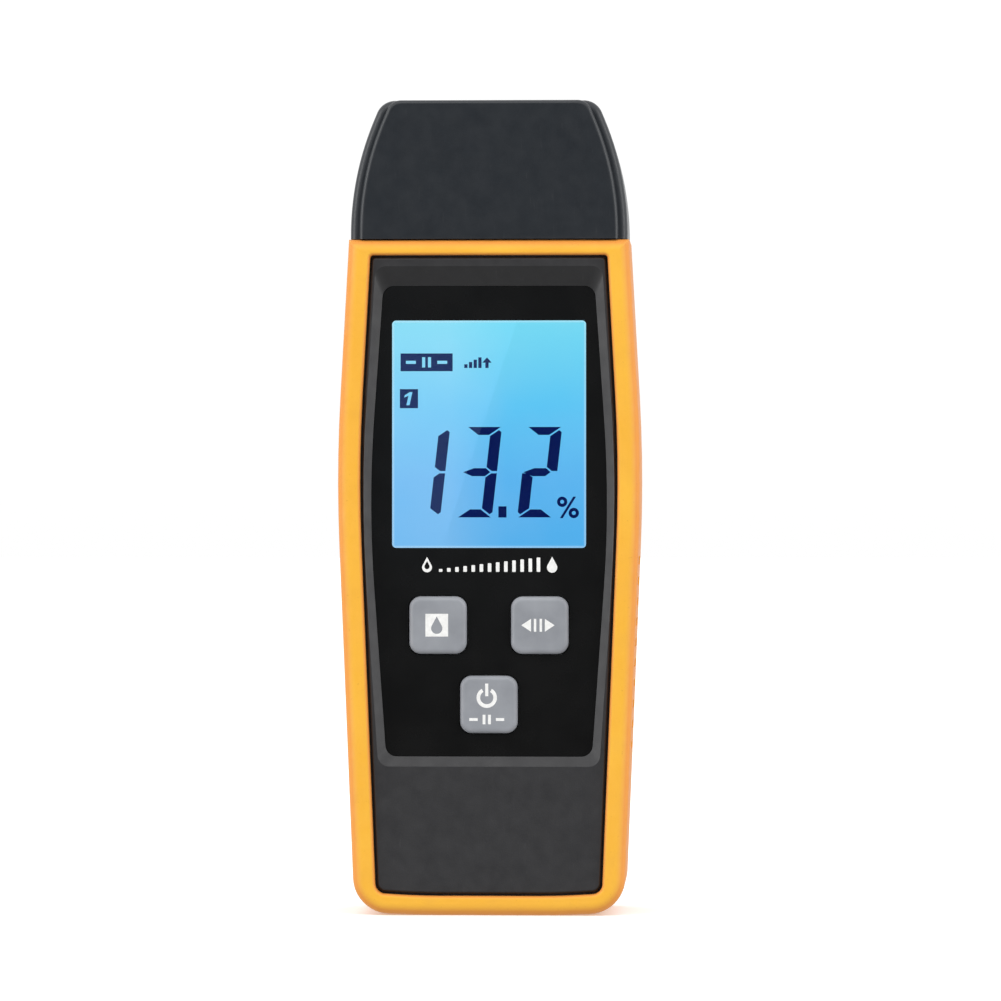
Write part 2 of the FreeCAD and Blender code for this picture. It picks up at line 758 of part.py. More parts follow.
# ---------------------------------------------------------------- head, electrodes and cap
def make_head():
    """The neck that the cap fits over; its stem is clamped between the two shells."""
    body = new_body("head_block")
    neck = sketch_on(body, "XY_Plane", "body_top + 2 * fit_gap")
    rectangle(neck, "0", "0", "neck_half_wide", "neck_half_deep", "neck_corner")
    pad(body, neck, "neck_top - body_top - 2 * fit_gap")
    soften(body, "neck_edge", lambda edge: on_plane(edge, 2, value("neck_top")))
    stem = sketch_on(body, "XY_Plane", "stem_bottom")
    rectangle(stem, "0", "0", "stem_half_wide", "stem_half_deep", "lip_edge")
    pad(body, stem, "body_top + 2 * fit_gap - stem_bottom")
    flange = sketch_on(body, "XY_Plane", "stem_bottom + flange_rise")
    rectangle(flange, "0", "0", "stem_half_wide + flange_wide", "stem_half_deep + flange_deep", "lip_edge")
    pad(body, flange, "body_top - lip_top - shell_wall - stem_bottom - flange_rise - stem_gap")
    bores = sketch_on(body, "XY_Plane", "neck_top")
    for side in ("-electrode_half", "electrode_half"):
        circle(bores, side, "0", "shank_radius + fit_gap")
    cut(body, bores, "neck_top - stem_bottom")


def make_electrodes():
    """Two pointed steel pins, each with a collar above the neck and a nut below the stem."""
    nuts = []
    tabs = []
    for label, side in (("electrode_left", "-electrode_half"), ("electrode_right", "electrode_half")):
        body = new_body(label)
        section = front_sketch(body, "0")
        foot = "stem_bottom - nut_high - shank_tail"
        outline(section, [("0", foot, "0"), ("shank_radius", foot, "0"),
                          ("shank_radius", "neck_top + fit_gap", "0"),
                          ("collar_radius", "neck_top + fit_gap", "0"),
                          ("collar_radius", "neck_top + collar_high - collar_edge", "0"),
                          ("collar_radius - collar_edge", "neck_top + collar_high", "0"),
                          ("needle_radius", "neck_top + collar_high", "0"),
                          ("needle_radius", "needle_shoulder", "0"),
                          ("0", "needle_tip", "0")])
        turned = body.newObject("PartDesign::Revolution", "turned")
        turned.Profile = section
        turned.ReferenceAxis = (section, ["V_Axis"])
        turned.Angle = 360
        doc.recompute()
        put(body, side)
        nut_low = "stem_bottom - nut_high - fit_gap"
        nut = solid("Prism", Circumradius="nut_radius", Height="nut_high")
        nut.Polygon = 6
        bore = rod(side, "0", nut_low, "shank_radius + fit_gap", "nut_high")
        nuts.append(minus(put(nut, side, "0", nut_low), bore))
        tab_z = f"{nut_low} - contact_thick / 2 - fit_gap"
        leg_y = "-(board_deep - board_thick) + contact_thick / 2 + fit_gap"
        washer = join(block(side, "-tab_back", tab_z, "tab_wide", "tab_deep", "contact_thick"),
                      block(side, leg_y, f"{tab_z} - tab_leg_long / 2", "tab_leg_wide", "contact_thick",
                            "tab_leg_long + contact_thick"))
        hole = rod(side, "0", f"{tab_z} - contact_thick", "shank_radius + fit_gap", "2 * contact_thick")
        tabs.append(minus(washer, hole))
    group("electrode_nuts", nuts)
    group("electrode_tabs", tabs)


def make_cap():
    """The pull-off cap: a hollow, slightly tapered hood with a raised face front and back."""
    body = new_body("pin_cap")
    for inset, depth, rounding in (("0", "cap_core_deep", "cap_core_edge"),
                                   ("cap_face_inset", "cap_face_deep", "cap_face_edge")):
        hood = front_sketch(body, f"-{depth}")
        outline(hood, cap_outline(inset))
        pad(body, hood, f"2 * {depth}")
        for side in ("1", "-1"):
            taper_cap(body, side, depth)
        soften(body, rounding, lambda edge, reach=value(depth): on_cap_face(edge, reach))
    hollow = front_sketch(body, "-cap_hollow_deep")
    outline(hollow, cap_outline("cap_wall", "total_high - cap_wall", "cap_hollow_round"))
    cut(body, hollow, "2 * cap_hollow_deep", forward=True)


def taper_cap(body, side, depth):
    """Slice the cap's front (side -1) or back (side 1) so that it leans in towards the top."""
    past = f"{side} * ({depth} + cap_taper)"
    wedge = sketch_on(body, "YZ_Plane", "-cap_half")
    outline(wedge, [(f"{side} * {depth}", "cap_bottom", "0"),
                    (past, "cap_bottom", "0"),
                    (past, "total_high + cap_over", "0"),
                    (f"{side} * ({depth} - cap_taper)", "total_high + cap_over", "0")])
    cut(body, wedge, "2 * cap_half", forward=True)


def on_cap_face(edge, depth):
    """True for an edge round the leaning front or back face that starts at that depth."""
    slope = value("cap_taper") / value("total_high + cap_over - cap_bottom")
    for at in (edge.FirstParameter, sum(edge.ParameterRange) / 2, edge.LastParameter):
        point = edge.valueAt(at)
        if abs(abs(point.y) - depth + slope * (point.z - value("cap_bottom"))) > 1e-3:
            return False
    return edge.BoundBox.ZMax > value("cap_bottom + fit_gap")


# ---------------------------------------------------------------- battery compartment
def make_battery():
    """Three cells side by side, turned about, with a spring and a contact plate at their ends."""
    cells = []
    springs = []
    low = "bay_bottom + contact_thick + 2 * fit_gap"
    high = "bay_top - contact_thick - 2 * fit_gap"
    for k, x in enumerate(("-cell_pitch", "0", "cell_pitch")):
        nub_up = k != 1
        bottom = f"{high} - nub_high - cell_length" if nub_up else f"{low} + nub_high"
        nub_z = f"{high} - nub_high - fit_gap" if nub_up else low
        can = rod(x, "cell_deep", bottom, "cell_radius", "cell_length")
        nub = rod(x, "cell_deep", nub_z, "nub_radius", "nub_high + fit_gap")
        cells.append(join(can, nub))
        start = value(low) if nub_up else value(bottom) + value("cell_length") + value("fit_gap")
        end = value(bottom) - value("fit_gap") if nub_up else value(high)
        springs.append(coil_spring(value(x), start, end))
    group("battery_cells", cells)
    spring_node = doc.addObject("Part::Feature", "battery_springs")
    spring_node.Shape = Part.makeCompound(springs)
    node("battery_springs", spring_node)
    for label, z in (("contact_lower", "bay_bottom + contact_thick / 2 + fit_gap"),
                     ("contact_upper", "bay_top - contact_thick / 2 - fit_gap")):
        plate = block("0", "cell_deep", z, "2 * (bay_half - contact_inset)", "contact_high", "contact_thick")
        tab_long = "board_deep - board_thick + cell_deep - contact_tab - fit_gap"
        tab = block("cell_pitch", f"cell_deep - contact_tab - ({tab_long}) / 2", z, "contact_tab", tab_long,
                    "contact_thick")
        node(label, join(plate, tab))


def coil_spring(x, low, high):
    """A round-wire compression spring standing between two heights."""
    wire = value("spring_wire")
    height = high - low - 2 * wire
    path = Part.Wire(Part.makeLongHelix(height / SPRING_TURNS, height, value("spring_radius")).Edges)
    first = path.Edges[0]
    start = first.valueAt(first.FirstParameter)
    along = first.tangentAt(first.FirstParameter)
    ring = Part.Wire(Part.Edge(Part.Circle(start, along, wire)))
    spring = path.makePipeShell([ring], True, True)
    spring.translate(Vector(x, value("cell_deep"), low + wire))
    return spring


def make_door():
    """The battery door: a flat cover that swings on two lugs at its lower edge."""
    body = new_body("battery_door")
    section = sketch_on(body, "YZ_Plane", "-door_half")
    back = "plateau_deep"
    inner = "plateau_deep - door_thick"
    hinge_round = "0.99 * door_thick / 2"
    outline(section, [(inner, "door_bottom", hinge_round), (back, "door_bottom", hinge_round),
                      (back, "door_top", "door_edge"), (inner, "door_top", "door_edge")])
    pad(body, section, "2 * door_half")
    lugs = sketch_on(body, "YZ_Plane", "-(door_half + lug_long)")
    circle(lugs, "plateau_deep - door_thick / 2", "door_bottom + door_thick / 2", "lug_radius")
    pad(body, lugs, "2 * (door_half + lug_long)")
    ribs = sketch_on(body, "XZ_Plane", f"-({back})")
    for k in range(DOOR_RIBS):
        rectangle(ribs, "0", f"door_top - rib_top - {k} * rib_pitch", f"rib_half - {k} * rib_taper",
                  "rib_half_high", "rib_corner")
    cut(body, ribs, "rib_deep", forward=True)


def make_rating_plate():
    """A thin blank plate let into the back."""
    body = new_body("rating_plate")
    face = front_sketch(body, "-(plateau_deep - plate_thick)")
    rectangle(face, "0", "plate_z", "plate_half_wide", "plate_half_high", "view_corner")
    pad(body, face, "plate_thick - fit_gap", reverse=True)


def build():
    make_boot()
    make_front_shell()
    make_rear_shell()
    make_panel()
    make_display()
    make_keys()
    make_board()
    make_switches()
    make_screws()
    make_head()
    make_electrodes()
    make_cap()
    make_battery()
    make_door()
    make_rating_plate()
    doc.recompute()


def check_and_write():
    """Stop on any failed object, then write one file for each sub-part."""
    failed = [item.Name for item in doc.Objects if {"Invalid", "Error"} & set(item.State)]
    failed += [label for label, item in NODES.items() if item.Shape.isNull() or not item.Shape.isValid()]
    if failed:
        raise RuntimeError("failed: " + ", ".join(failed))
    os.makedirs("parts", exist_ok=True)
    for label, item in NODES.items():
        item.Shape.exportStep(f"parts/{label}.step")


build()
check_and_write()
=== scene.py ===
import math

import bpy
from mathutils import Matrix, Vector


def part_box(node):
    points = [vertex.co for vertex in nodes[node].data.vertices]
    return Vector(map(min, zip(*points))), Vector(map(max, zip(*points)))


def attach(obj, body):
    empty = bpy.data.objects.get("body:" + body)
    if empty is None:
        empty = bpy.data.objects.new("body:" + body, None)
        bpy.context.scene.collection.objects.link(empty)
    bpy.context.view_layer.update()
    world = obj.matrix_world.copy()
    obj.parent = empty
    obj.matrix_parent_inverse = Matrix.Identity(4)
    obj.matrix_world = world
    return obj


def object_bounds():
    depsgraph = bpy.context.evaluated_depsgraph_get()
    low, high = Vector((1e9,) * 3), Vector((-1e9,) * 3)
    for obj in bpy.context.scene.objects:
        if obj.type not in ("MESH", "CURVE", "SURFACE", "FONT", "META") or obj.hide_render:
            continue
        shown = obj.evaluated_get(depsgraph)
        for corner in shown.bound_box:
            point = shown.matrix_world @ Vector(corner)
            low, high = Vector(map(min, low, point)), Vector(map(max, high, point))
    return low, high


# Looks of the two-pin moisture meter, built around its CAD frame: moulded, glossy and metal
# finishes for every CAD node, the lit display with its reading, the printed artwork, and a
# pale studio.  Metres; the display faces -Y and the meter stands on z = 0.
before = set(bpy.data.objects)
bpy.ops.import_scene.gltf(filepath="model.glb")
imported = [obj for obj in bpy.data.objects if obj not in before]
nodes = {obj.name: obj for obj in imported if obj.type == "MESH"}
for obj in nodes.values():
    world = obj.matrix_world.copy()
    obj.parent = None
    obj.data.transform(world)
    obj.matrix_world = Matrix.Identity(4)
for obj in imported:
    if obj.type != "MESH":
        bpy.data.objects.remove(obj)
cad_low, cad_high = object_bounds()

MM = 0.001
WHITE = (1.0, 1.0, 1.0, 1.0)
BLACK = (0.0, 0.0, 0.0, 1.0)


# ================================================================ shader building blocks
def screen(red, green, blue):
    """A colour as it shows on a screen, 0 to 255, turned into linear light."""
    def linear(level):
        share = level / 255
        return share / 12.92 if share <= 0.04045 else ((share + 0.055) / 1.055) ** 2.4
    return (linear(red), linear(green), linear(blue), 1.0)


def add(tree, kind, inputs=None, **settings):
    """A shader node with its settings, and its inputs linked to a socket or set to a value."""
    made = tree.nodes.new("ShaderNode" + kind)
    for label, setting in settings.items():
        setattr(made, label, setting)
    for label, given in (inputs or {}).items():
        if isinstance(given, bpy.types.NodeSocket):
            tree.links.new(given, made.inputs[label])
        else:
            made.inputs[label].default_value = given
    return made


def new_surface(name, **plain):
    """A material and its Principled shader.  Plain values go straight on the shader's sockets."""
    made = bpy.data.materials.new(name)
    made.use_nodes = True
    shader = made.node_tree.nodes["Principled BSDF"]
    for label, given in plain.items():
        shader.inputs[label.replace("_", " ")].default_value = given
    return made, made.node_tree, shader


def finish_with(tree, shader, **sockets):
    """Links what was worked out for a surface to its shader, by socket name."""
    for label, given in sockets.items():
        tree.links.new(given, shader.inputs[label.replace("_", " ")])


def place(tree):
    """Where a point lies in the meter's own frame, in metres."""
    found = tree.nodes.get("place") or add(tree, "TexCoord", name="place")
    return found.outputs["Object"]


def along(tree, axis):
    """How far a point lies along one axis of the meter's own frame."""
    return add(tree, "SeparateXYZ", {0: place(tree)}).outputs[axis]


def maths(tree, operation, first, second=0.0):
    """Arithmetic on two values, or on the first alone where the operation takes only one."""
    return add(tree, "Math", {0: first, 1: second}, operation=operation).outputs[0]


def distance_from(tree, given, middle):
    """How far a value lies from a middle one, either way."""
    return maths(tree, "ABSOLUTE", maths(tree, "SUBTRACT", given, middle))


def level(tree, given, low, high, to_low=0.0, to_high=1.0):
    """Maps low to high onto to_low to to_high, and stays inside them."""
    inputs = {0: given, 1: low, 2: high, 3: to_low, 4: to_high}
    return add(tree, "MapRange", inputs).outputs[0]


def cloud(tree, size, detail=3.0, stretch=(1, 1, 1)):
    """Noise from 0 to 1 with features of about that size, longer along a stretched axis."""
    scale = [1 / (size * longer) for longer in stretch]
    moved = add(tree, "Mapping", {"Vector": place(tree), "Scale": scale})
    noise = add(tree, "TexNoise", {"Vector": moved.outputs[0], "Scale": 1.0, "Detail": detail})
    return noise.outputs["Fac"]


def patches(tree, size, detail, low=0.0, high=1.0):
    """Soft patches of about that size, with values that run from low to high."""
    return level(tree, cloud(tree, size, detail), 0.3, 0.7, low, high)


def scratches(tree, size, length, share):
    """Fine straight marks, 0 to 1; a smaller share leaves fewer of them."""
    lines = cloud(tree, size, detail=1.0, stretch=(1, 1, length))
    where = cloud(tree, size * length / 3, detail=1.0)
    thin = level(tree, lines, 0.5 + 0.2 * (1 - share), 0.85)
    return maths(tree, "MULTIPLY", thin, level(tree, where, 0.45, 0.75))


def mix(tree, share, first, second):
    """Two colours mixed by a share from 0 to 1."""
    made = add(tree, "Mix", {0: share, 6: first, 7: second}, data_type="RGBA")
    return made.outputs[2]


def layered(tree, colour, *coats):
    """A colour under coats of others, each given as its share from 0 to 1 and its colour."""
    for share, coat in coats:
        colour = mix(tree, share, colour, coat)
    return colour


def turned_to(tree, axis):
    """How far the surface faces along an axis: 1 straight along it, -1 straight against it."""
    normal = add(tree, "NewGeometry").outputs["Normal"]
    return add(tree, "SeparateXYZ", {0: normal}).outputs[axis]


def edge_share(tree, radius):
    """0 on flat stretches, up to 1 where the surface turns a corner within the radius."""
    rounded = add(tree, "Bevel", {"Radius": radius}, samples=6)
    plain = add(tree, "NewGeometry")
    inputs = {0: rounded.outputs[0], 1: plain.outputs["Normal"]}
    likeness = add(tree, "VectorMath", inputs, operation="DOT_PRODUCT").outputs["Value"]
    return level(tree, maths(tree, "SUBTRACT", 1.0, likeness), 0.02, 0.25)


def bump(tree, height, distance, under=None):
    """Surface relief: distance is how far the full height stands out, in metres."""
    inputs = {"Height": height, "Distance": distance}
    if under is not None:
        inputs["Normal"] = under
    return add(tree, "Bump", inputs).outputs["Normal"]


# ================================================================ finishes
def boot_rubber():
    """Soft amber rubber: pebbled, mottled, with painted shade on its rounded edge and its sides,
    rubbed and grimy.
    """
    made, tree, shader = new_surface("boot_rubber", Sheen_Weight=0.12, Sheen_Roughness=0.4,
                                     Sheen_Tint=screen(255, 226, 190), Specular_IOR_Level=0.42)
    mottled = mix(tree, patches(tree, 9 * MM, 4.0), screen(248, 182, 56), screen(253, 192, 62))
    blotches = level(tree, cloud(tree, 26 * MM, 2.0), 0.45, 0.8, 0.0, 0.3)
    facing = maths(tree, "ABSOLUTE", turned_to(tree, "Y"))
    # painted shade: the rounded band round the face and the faces turned sideways are darker, as
    # less light falls on them
    rounded = level(tree, facing, 0.75, 0.995, 1.0, 0.0)
    painted_shade_sides = level(tree, facing, 0.1, 0.6, 0.75, 0.0)
    rubbed = maths(tree, "MULTIPLY", edge_share(tree, 0.9 * MM), cloud(tree, 3 * MM))
    specks = level(tree, cloud(tree, 0.5 * MM, 2.0), 0.66, 0.8, 0.0, 0.35)
    handled = level(tree, cloud(tree, 4.5 * MM, 5.0), 0.5, 0.8, 0.0, 0.22)
    # the second and third coats are painted shade, by which way the surface faces
    colour = layered(tree, mottled,
                     (blotches, screen(246, 173, 62)),
                     (rounded, screen(236, 153, 58)),
                     (painted_shade_sides, screen(210, 128, 44)),
                     (level(tree, rubbed, 0.1, 0.8, 0.0, 0.5), screen(255, 205, 112)),
                     (specks, screen(196, 128, 44)),
                     (handled, screen(214, 138, 50)))
    rough = patches(tree, 2.2 * MM, 5.0, low=0.42, high=0.62)
    swell = bump(tree, cloud(tree, 6 * MM, 2.0), 0.05 * MM)
    pebbles = bump(tree, cloud(tree, 0.7 * MM, 2.0), 0.03 * MM, under=swell)
    relief = bump(tree, cloud(tree, 0.22 * MM, 4.0), 0.022 * MM, under=pebbles)
    finish_with(tree, shader, Base_Color=colour, Roughness=rough, Normal=relief)
    return made


def moulded(name, dark, pale, grain_size, grain_deep, rough_low, rough_high, worn):
    """Moulded plastic: sparked grain, faint clouding, scuffs and edges polished by handling.
    It has painted shade where it faces down: darker there, as if lit from above."""
    made, tree, shader = new_surface(name, Specular_IOR_Level=0.5)
    clouded = mix(tree, patches(tree, 1.6 * MM, 5.0), dark, pale)
    lighter = mix(tree, 0.5, pale, screen(170, 170, 172))
    rubbed = maths(tree, "MULTIPLY", edge_share(tree, 0.5 * MM), cloud(tree, 2.5 * MM, 4.0))
    # painted shade: faces turned down are darkened towards black, as if the light came from above
    painted_shade_below = level(tree, turned_to(tree, "Z"), -0.25, 0.0, 0.55, 0.0)
    scuffs = maths(tree, "MULTIPLY", scratches(tree, 0.35 * MM, length=14, share=0.4), 0.07)
    colour = layered(tree, clouded,
                     (level(tree, rubbed, 0.15, 0.8, 0.0, worn), lighter),
                     (painted_shade_below, BLACK),
                     (scuffs, lighter))
    matt = patches(tree, 3 * MM, 5.0, rough_low, rough_high)
    rough = maths(tree, "SUBTRACT", matt, level(tree, rubbed, 0.2, 0.9, 0.0, 0.12))
    relief = bump(tree, cloud(tree, grain_size, 4.0), grain_deep)
    finish_with(tree, shader, Base_Color=colour, Roughness=rough, Normal=relief)
    return made


def case_plastic():
    return moulded("case_plastic", screen(43, 43, 45), screen(47, 47, 49), grain_size=0.28 * MM,
                   grain_deep=0.02 * MM, rough_low=0.42, rough_high=0.54, worn=0.35)


def cap_plastic():
    return moulded("cap_plastic", screen(34, 38, 43), screen(37, 41, 46), grain_size=0.2 * MM,
                   grain_deep=0.008 * MM, rough_low=0.3, rough_high=0.38, worn=0.2)


def panel_gloss():
    """Black printed film under a hard clear coat, with fine handling marks in the gloss."""
    made, tree, shader = new_surface("panel_gloss", Specular_IOR_Level=0.3)
    colour = mix(tree, patches(tree, 8 * MM, 3.0), screen(19, 19, 19), screen(24, 24, 24))
    smears = cloud(tree, 7 * MM, 4.0, stretch=(1, 1, 2))
    haze = level(tree, smears, 0.35, 0.75, 0.16, 0.24)
    marks = maths(tree, "MULTIPLY", scratches(tree, 0.16 * MM, length=30, share=0.5), 0.15)
    rough = maths(tree, "ADD", haze, marks)
    relief = bump(tree, cloud(tree, 1.8 * MM, 2.0), 0.003 * MM)
    finish_with(tree, shader, Base_Color=colour, Roughness=rough, Normal=relief)
    return made


def window_clear():
    """Clear acrylic pane, with faint wiping marks."""
    made, tree, shader = new_surface("window_clear", Transmission_Weight=1.0, IOR=1.49,
                                     Base_Color=(0.97, 0.985, 1.0, 1.0))
    rough = level(tree, cloud(tree, 6 * MM, 4.0), 0.45, 0.8, 0.0, 0.05)
    relief = bump(tree, cloud(tree, 11 * MM, 1.0), 0.002 * MM)
    finish_with(tree, shader, Roughness=rough, Normal=relief)
    return made


def backlight_ramp(tree, foot, top):
    """The backlight's colour from the foot of the display to its top, paler upwards."""
    ramp = add(tree, "ValToRGB", {0: level(tree, along(tree, "Z"), foot, top)})
    stops = ramp.color_ramp.elements
    stops[0].color = screen(80, 179, 241)
    stops[1].color = screen(118, 225, 250)
    for share, colour in ((0.3, (85, 184, 245)), (0.62, (92, 203, 250)), (0.82, (108, 215, 249))):
        stops.new(share).color = screen(*colour)
    return ramp.outputs[0]


def lit_liquid_crystal():
    """The lit glass: paler upwards and along its rim, with painted glare paler towards the left,
    and a cell's faint grid.
    """
    low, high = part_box("display_window")
    middle = (low + high) / 2
    half = (high - low) / 2
    rim = 0.45 * MM
    pitch = 0.42 * MM
    made, tree, shader = new_surface("lcd_glass", Emission_Strength=1.0, Roughness=0.25,
                                     Base_Color=(0.01, 0.02, 0.03, 1.0), Specular_IOR_Level=0.2)
    across, upward = along(tree, "X"), along(tree, "Z")
    drift = patches(tree, 14 * MM, 2.0, low=0.0, high=0.04)
    # painted glare: the light is mixed towards white on the left of the window, as a reflection
    # there would make it
    painted_glare_left = level(tree, across, middle.x + 3 * MM, middle.x - 7 * MM, 0.0, 0.1)
    beside = level(tree, distance_from(tree, across, middle.x), half.x - rim, half.x)
    above = level(tree, distance_from(tree, upward, middle.z), half.z - rim, half.z)
    glow = level(tree, maths(tree, "MAXIMUM", beside, above), 0.1, 0.6, 0.0, 0.35)
    colour = layered(tree, backlight_ramp(tree, low.z, high.z),
                     (drift, WHITE),
                     (painted_glare_left, WHITE),
                     (glow, screen(214, 244, 255)))
    for position in (across, upward):
        wave = maths(tree, "SINE", maths(tree, "MULTIPLY", position, math.tau / pitch))
        line = level(tree, wave, 0.85, 1.0, 0.0, 0.03)
        colour = mix(tree, line, colour, screen(60, 120, 190))
    relief = bump(tree, cloud(tree, 0.6 * MM, 2.0), 0.002 * MM)
    finish_with(tree, shader, Emission_Color=colour, Normal=relief)
    return made


def segment_ink():
    """Switched-on crystal: deep navy, slightly uneven, as it darkens the light behind it."""
    made, tree, shader = new_surface("segment_ink", Roughness=0.35, Emission_Strength=1.0,
                                     Base_Color=(0.001, 0.002, 0.004, 1.0),
                                     Specular_IOR_Level=0.1)
    colour = mix(tree, patches(tree, 4 * MM, 3.0), screen(0, 18, 80), screen(2, 24, 88))
    finish_with(tree, shader, Emission_Color=colour)
    return made


def key_grey():
    """Grey silicone keys: a matt skin, a soft cloudy sheen and a painted highlight round their
    rims.
    """
    made, tree, shader = new_surface("key_grey", Specular_IOR_Level=0.5, Sheen_Weight=0.05)
    clouded = mix(tree, patches(tree, 5 * MM, 3.0), screen(141, 144, 150), screen(155, 158, 164))
    # painted highlight: the rims are mixed towards a paler grey all round, as light catching their
    # rounding
    rim = maths(tree, "MULTIPLY", edge_share(tree, 0.5 * MM), 0.35)
    colour = mix(tree, rim, clouded, screen(172, 173, 177))
    rough = patches(tree, 1.4 * MM, 5.0, low=0.38, high=0.52)
    relief = bump(tree, cloud(tree, 0.2 * MM, 4.0), 0.012 * MM)
    finish_with(tree, shader, Base_Color=colour, Roughness=rough, Normal=relief)
    return made


def white_ink():
    """Screen-printed white: not quite even, with the mesh of the screen just showing."""
    made, tree, shader = new_surface("white_ink", Specular_IOR_Level=0.4)
    colour = mix(tree, patches(tree, 0.7 * MM, 4.0), screen(236, 236, 234), screen(252, 252, 250))
    rough = patches(tree, 1.0 * MM, 3.0, low=0.4, high=0.6)
    relief = bump(tree, cloud(tree, 0.15 * MM, 2.0), 0.004 * MM)
    finish_with(tree, shader, Base_Color=colour, Roughness=rough, Normal=relief)
    return made


def brushed(name, dark, pale, stretch, rough_low=0.22, rough_high=0.38):
    """Metal with fine tool lines along the stretched axis and a few dull patches."""
    made, tree, shader = new_surface(name, Metallic=1.0)
    lines = cloud(tree, 0.12 * MM, 4.0, stretch=stretch)
    dull = level(tree, cloud(tree, 2.5 * MM, 4.0), 0.4, 0.75)
    colour = mix(tree, lines, dark, pale)
    colour = mix(tree, maths(tree, "MULTIPLY", dull, 0.25), colour, dark)
    rough = maths(tree, "ADD", level(tree, lines, 0.3, 0.7, rough_low, rough_high),
                  maths(tree, "MULTIPLY", dull, 0.12))
    relief = bump(tree, lines, 0.006 * MM)
    finish_with(tree, shader, Base_Color=colour, Roughness=rough, Normal=relief)
    return made


def electrode_steel():
    return brushed("electrode_steel", screen(150, 152, 155), screen(214, 216, 218),
                   stretch=(14, 14, 1))


def screw_steel():
    return brushed("screw_steel", screen(92, 94, 98), screen(150, 152, 156), stretch=(1, 1, 6),
                   rough_low=0.3, rough_high=0.45)


def spring_steel():
    return brushed("spring_steel", screen(160, 160, 158), screen(216, 216, 212),
                   stretch=(6, 1, 1))


def nut_brass():
    return brushed("nut_brass", screen(176, 136, 66), screen(222, 188, 112), stretch=(1, 1, 8))


def cell_jacket():
    """Shrink-wrapped cells: a blue jacket, pale towards both ends, where the steel is bare."""
    low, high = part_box("battery_cells")
    half = (high.z - low.z) / 2
    pale_long = 12 * MM
    bare_long = 3.2 * MM
    blend = 0.2 * MM
    made, tree, shader = new_surface("cell_jacket", Specular_IOR_Level=0.5)
    reach = distance_from(tree, along(tree, "Z"), (low.z + high.z) / 2)
    pale = level(tree, reach, half - pale_long, half - pale_long + blend)
    bare = level(tree, reach, half - bare_long, half - bare_long + blend)
    jacket = mix(tree, patches(tree, 4 * MM, 3.0), screen(28, 66, 116), screen(36, 78, 132))
    colour = layered(tree, jacket, (pale, screen(196, 202, 208)), (bare, screen(176, 176, 174)))
    rough = patches(tree, 1.5 * MM, 4.0, low=0.25, high=0.4)
    relief = bump(tree, cloud(tree, 2.0 * MM, 2.0, stretch=(1, 1, 5)), 0.006 * MM)
    finish_with(tree, shader, Base_Color=colour, Metallic=bare, Roughness=rough, Normal=relief)
    return made


def board_green():
    """Solder mask over copper: pale tracks in a grid of runs, and a glassy surface."""
    made, tree, shader = new_surface("board_green", Specular_IOR_Level=0.55)
    runs = add(tree, "TexBrick", {"Vector": place(tree), "Scale": 1.0,
                                  "Mortar Size": 0.12 * MM, "Brick Width": 5.2 * MM,
                                  "Row Height": 1.1 * MM}).outputs["Fac"]
    weave = patches(tree, 0.5 * MM, 2.0, low=0.0, high=0.3)
    colour = mix(tree, weave, screen(16, 78, 42), screen(26, 96, 56))
    colour = mix(tree, maths(tree, "MULTIPLY", runs, 0.6), colour, screen(52, 132, 74))
    rough = patches(tree, 2 * MM, 3.0, low=0.22, high=0.36)
    relief = bump(tree, runs, 0.03 * MM)
    finish_with(tree, shader, Base_Color=colour, Roughness=rough, Normal=relief)
    return made


def small_part(name, dark, pale, rough_low=0.4, rough_high=0.6):
    """A small moulded or stamped part inside the case, with grain and uneven colour."""
    made, tree, shader = new_surface(name)
    colour = mix(tree, patches(tree, 1.5 * MM, 4.0), dark, pale)
    rough = patches(tree, 1.0 * MM, 4.0, rough_low, rough_high)
    relief = bump(tree, cloud(tree, 0.2 * MM, 3.0), 0.01 * MM)
    finish_with(tree, shader, Base_Color=colour, Roughness=rough, Normal=relief)
    return made


def plate_foil():
    """Silver polyester label: brushed foil under a thin clear film, with a few stains."""
    made, tree, shader = new_surface("plate_foil", Metallic=0.7, Coat_Weight=0.3,
                                     Coat_Roughness=0.2)
    lines = cloud(tree, 0.1 * MM, 3.0, stretch=(40, 1, 1))
    stains = level(tree, cloud(tree, 5 * MM, 4.0), 0.55, 0.8, 0.0, 0.3)
    colour = mix(tree, lines, screen(158, 160, 163), screen(196, 198, 200))
    colour = mix(tree, stains, colour, screen(128, 126, 122))
    rough = level(tree, lines, 0.3, 0.7, 0.28, 0.42)
    relief = bump(tree, lines, 0.004 * MM)
    finish_with(tree, shader, Base_Color=colour, Roughness=rough, Normal=relief)
    return made


def dark_ink():
    return small_part("dark_ink", screen(30, 31, 34), screen(40, 41, 44), rough_low=0.45)


# ================================================================ flat artwork
# An outline is a closed list of (x, z).  Art is drawn in millimetres about a middle point, and
# placed() turns it into metres in the meter's own frame.
INK_THICK = 0.02 * MM
PRINT_LIFT = 0.002 * MM


def arc(x, z, radius, start, end, steps=24):
    """Points along part of a circle; angles in degrees, anticlockwise from +X."""
    turns = [math.radians(start + (end - start) * step / steps) for step in range(steps + 1)]
    return [(x + radius * math.cos(turn), z + radius * math.sin(turn)) for turn in turns]


def box_outline(x, z, wide, high, corner=0.0):
    """A rectangle about its middle, with rounded corners if asked."""
    across, up = wide / 2 - corner, high / 2 - corner
    if corner == 0:
        return [(x + across, z + up), (x - across, z + up), (x - across, z - up),
                (x + across, z - up)]
    quarters = ((1, 1, 0), (-1, 1, 90), (-1, -1, 180), (1, -1, 270))
    return [point for side, rise, start in quarters
            for point in arc(x + side * across, z + rise * up, corner, start, start + 90, 8)]


